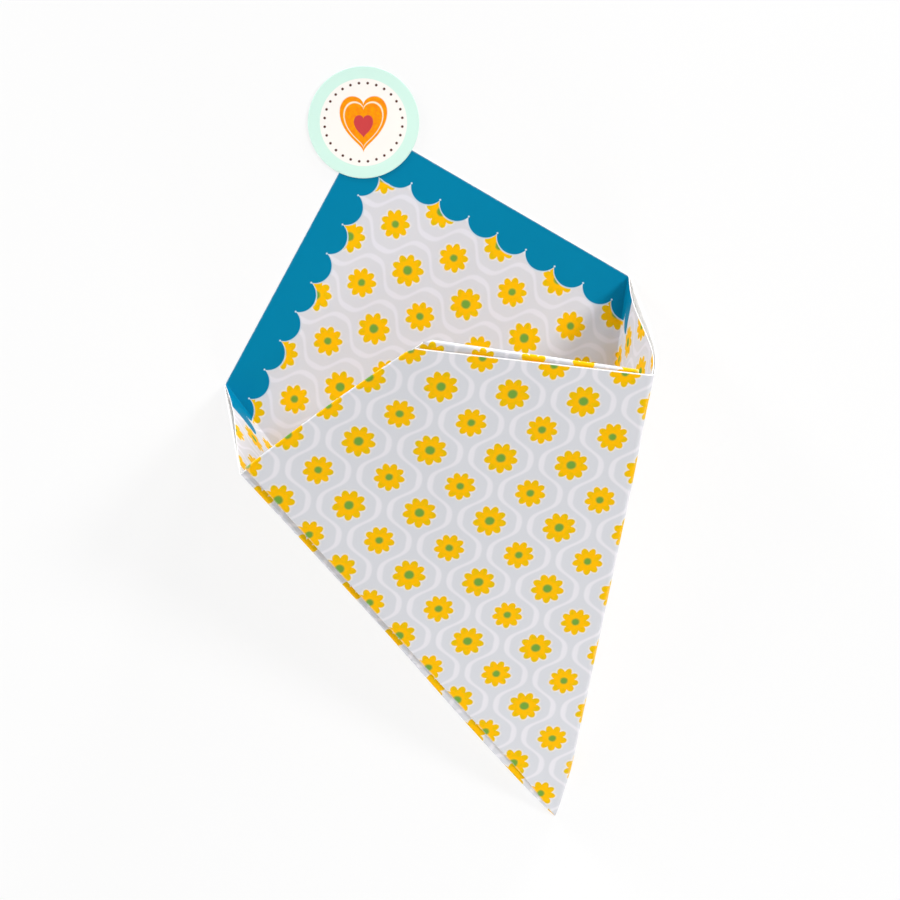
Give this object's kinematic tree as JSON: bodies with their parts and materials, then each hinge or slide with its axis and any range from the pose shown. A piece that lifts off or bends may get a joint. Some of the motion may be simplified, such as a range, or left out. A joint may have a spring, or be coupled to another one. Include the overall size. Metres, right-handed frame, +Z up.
{
  "type": "folded paper pouch",
  "caption": "Cone-shaped paper pouch folded from a square sheet, lying on its back with an open mouth, a pointed top flap and a round sticker on the flap's corner.",
  "frame": {"origin": "under the middle of the whole part, on the surface its back lies on", "axes": "+X to the right as seen looking down into the front, +Y from the pouch's tip to its top corner, +Z up from the back to the front"},
  "size_m": [0.0832, 0.1544, 0.0453],
  "materials": {
    "printed_paper": "matte print on one face",
    "sticker_paper": "satin"
  },
  "bodies": {
    "root": {"folded_sheet": "printed_paper", "sticker": "sticker_paper"}
  },
  "joints": []
}
